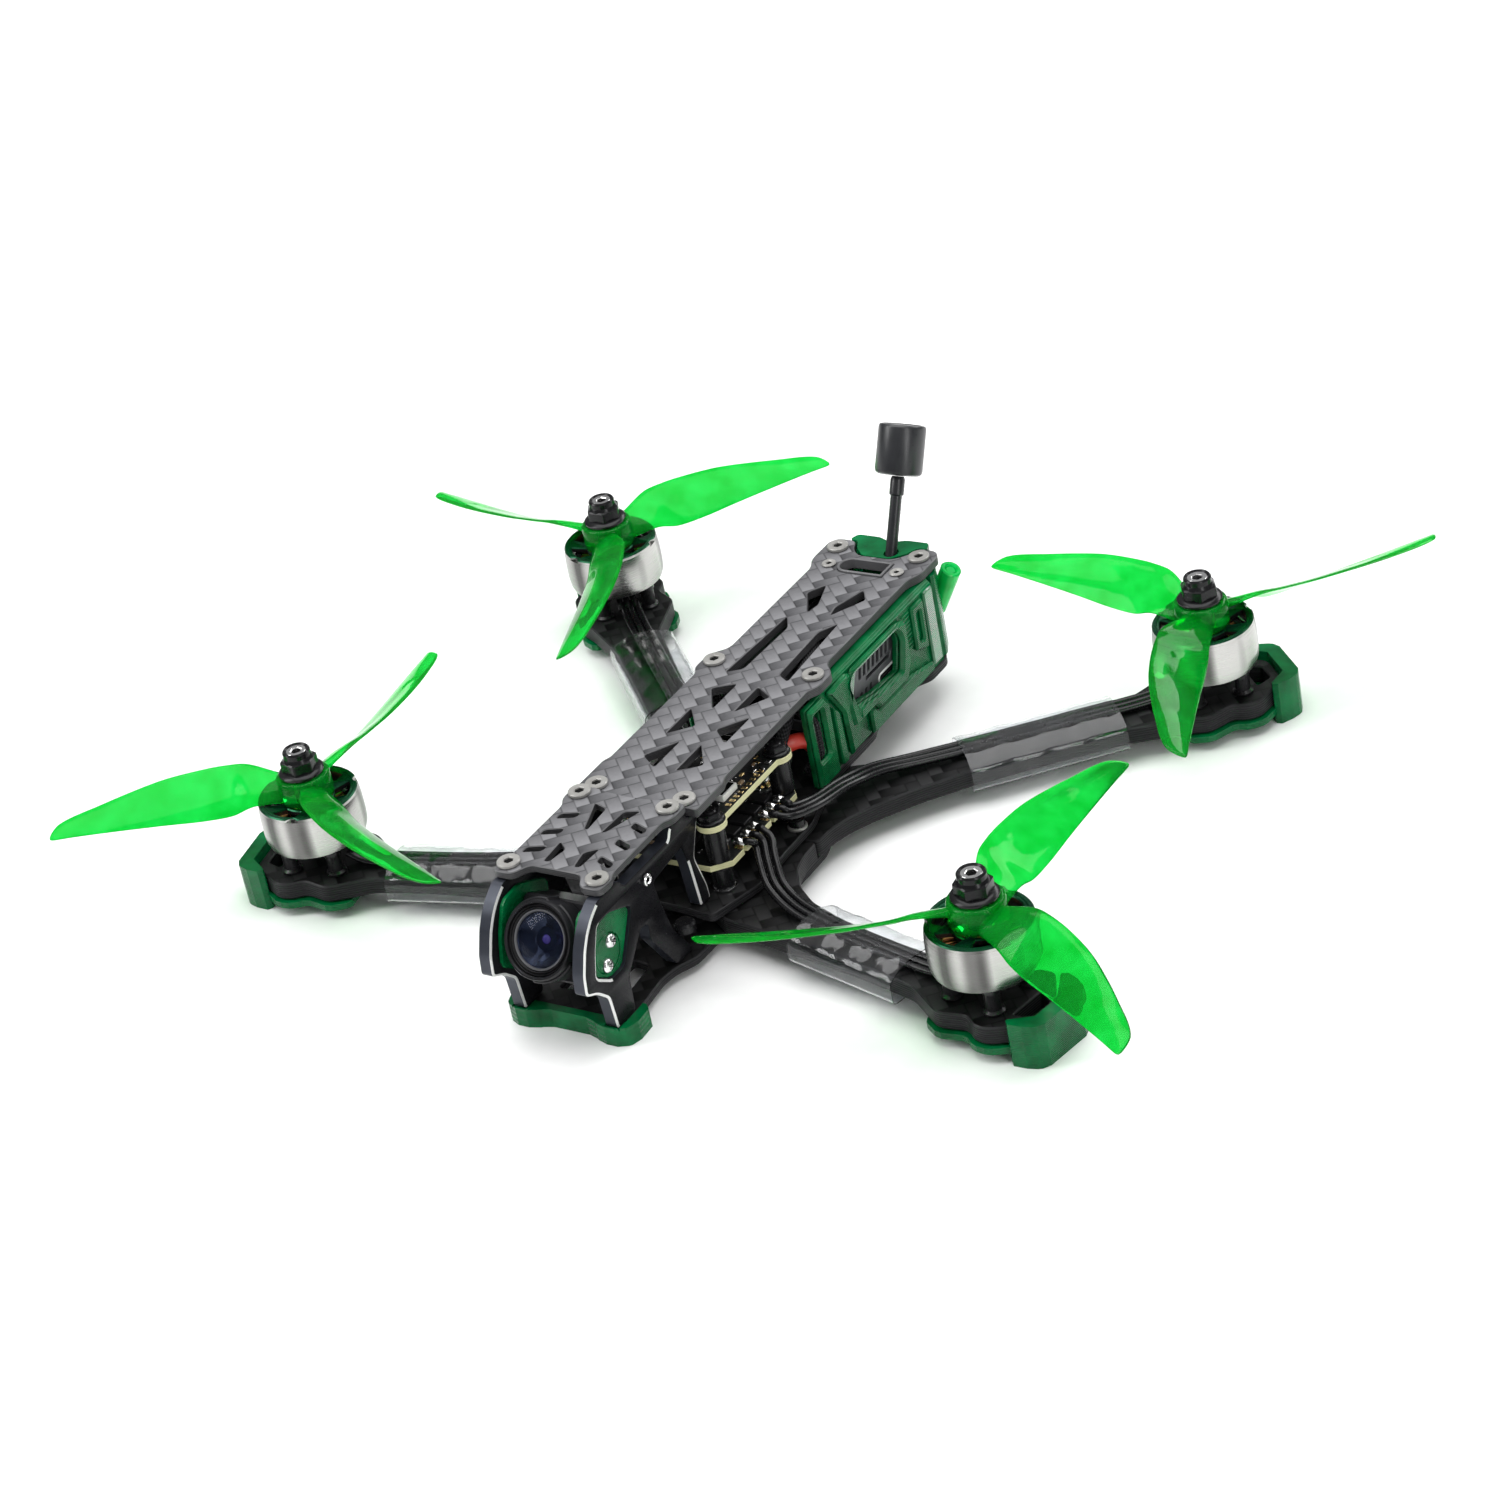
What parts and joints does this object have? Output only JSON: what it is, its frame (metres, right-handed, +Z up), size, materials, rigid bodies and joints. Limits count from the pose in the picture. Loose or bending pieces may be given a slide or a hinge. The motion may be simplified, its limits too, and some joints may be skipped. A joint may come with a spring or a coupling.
{
  "type": "quadcopter drone",
  "caption": "Open-frame quadcopter with crossed arms, three-blade propellers, a caged front camera, stacked plates and a leaning rear antenna.",
  "frame": {"origin": "on the underside of the bottom plate, midway between the four motors", "axes": "+Z up, nose towards -Y, +X on the right for a viewer who faces the nose"},
  "size_m": [0.3008, 0.2245, 0.0704],
  "materials": {
    "carbon_grey": "satin woven carbon laminate",
    "carbon_black": "satin woven carbon laminate, cut edges",
    "anodised": "black anodised, bright chamfers",
    "green_print": "translucent printed TPU",
    "green_tube": "bright translucent green tube",
    "green_blade": "clear green polycarbonate",
    "bell_silver": "turned, satin, dark green top",
    "motor_black": "blackened",
    "screw_steel": "satin screw heads",
    "board": "black solder mask, cream edges",
    "video_grey": "satin grey",
    "black_plastic": "satin",
    "grommet_grey": "satin",
    "wire_black": "silicone insulation",
    "wire_red": "silicone insulation",
    "clear_film": "clear heat-shrink film",
    "lens_glass": "coated lens"
  },
  "bodies": {
    "frame": {"bottom_plate": "carbon_black", "middle_plate": "carbon_black", "top_plate": "carbon_grey", "front_top_plate": "carbon_grey", "front_bumper": "green_print", "rear_cap": "green_print", "receiver_tube": "green_tube", "video_unit": "video_grey", "speed_controller": "board", "flight_controller": "board", "capacitor": "black_plastic", "lead_grommet": "grommet_grey", "power_lead_red": "wire_red", "power_lead_black": "wire_black", "antenna_stem": "wire_black", "antenna_head": "black_plastic", "cage_side_left": "anodised", "camera_cradle_left": "green_print", "side_panel_left": "green_print", "rear_post_left": "screw_steel", "ear_post_left": "screw_steel", "cage_side_right": "anodised", "camera_cradle_right": "green_print", "side_panel_right": "green_print", "rear_post_right": "screw_steel", "ear_post_right": "screw_steel", "arm_front_left": "carbon_black", "arm_guard_front_left": "green_print", "wires_front_left": "wire_black", "sleeve_front_left": "clear_film", "motor_base_front_left": "motor_black", "arm_front_right": "carbon_black", "arm_guard_front_right": "green_print", "wires_front_right": "wire_black", "sleeve_front_right": "clear_film", "motor_base_front_right": "motor_black", "arm_rear_left": "carbon_black", "arm_guard_rear_left": "green_print", "wires_rear_left": "wire_black", "sleeve_rear_left": "clear_film", "motor_base_rear_left": "motor_black", "arm_rear_right": "carbon_black", "arm_guard_rear_right": "green_print", "wires_rear_right": "wire_black", "sleeve_rear_right": "clear_film", "motor_base_rear_right": "motor_black"},
    "camera": {"camera_body": "black_plastic", "camera_lens": "lens_glass"},
    "rotor_front_left": {"motor_bell_front_left": "bell_silver", "propeller_front_left": "green_blade", "prop_nut_front_left": "motor_black"},
    "rotor_front_right": {"motor_bell_front_right": "bell_silver", "propeller_front_right": "green_blade", "prop_nut_front_right": "motor_black"},
    "rotor_rear_left": {"motor_bell_rear_left": "bell_silver", "propeller_rear_left": "green_blade", "prop_nut_rear_left": "motor_black"},
    "rotor_rear_right": {"motor_bell_rear_right": "bell_silver", "propeller_rear_right": "green_blade", "prop_nut_rear_right": "motor_black"}
  },
  "joints": [
    {"name": "camera_tilt", "type": "hinge", "parent": "frame", "child": "camera", "pos_m": [0, -0.096, 0.0215], "axis": [1, 0, 0], "range_deg": [-20, 20]},
    {"name": "spin_front_left", "type": "hinge", "parent": "frame", "child": "rotor_front_left", "pos_m": [-0.0948, -0.0654, 0.025], "axis": [0, 0, 1], "continuous": true},
    {"name": "spin_front_right", "type": "hinge", "parent": "frame", "child": "rotor_front_right", "pos_m": [0.0948, -0.0654, 0.025], "axis": [0, 0, 1], "continuous": true},
    {"name": "spin_rear_left", "type": "hinge", "parent": "frame", "child": "rotor_rear_left", "pos_m": [-0.0884, 0.0654, 0.025], "axis": [0, 0, 1], "continuous": true},
    {"name": "spin_rear_right", "type": "hinge", "parent": "frame", "child": "rotor_rear_right", "pos_m": [0.0884, 0.0654, 0.025], "axis": [0, 0, 1], "continuous": true}
  ]
}
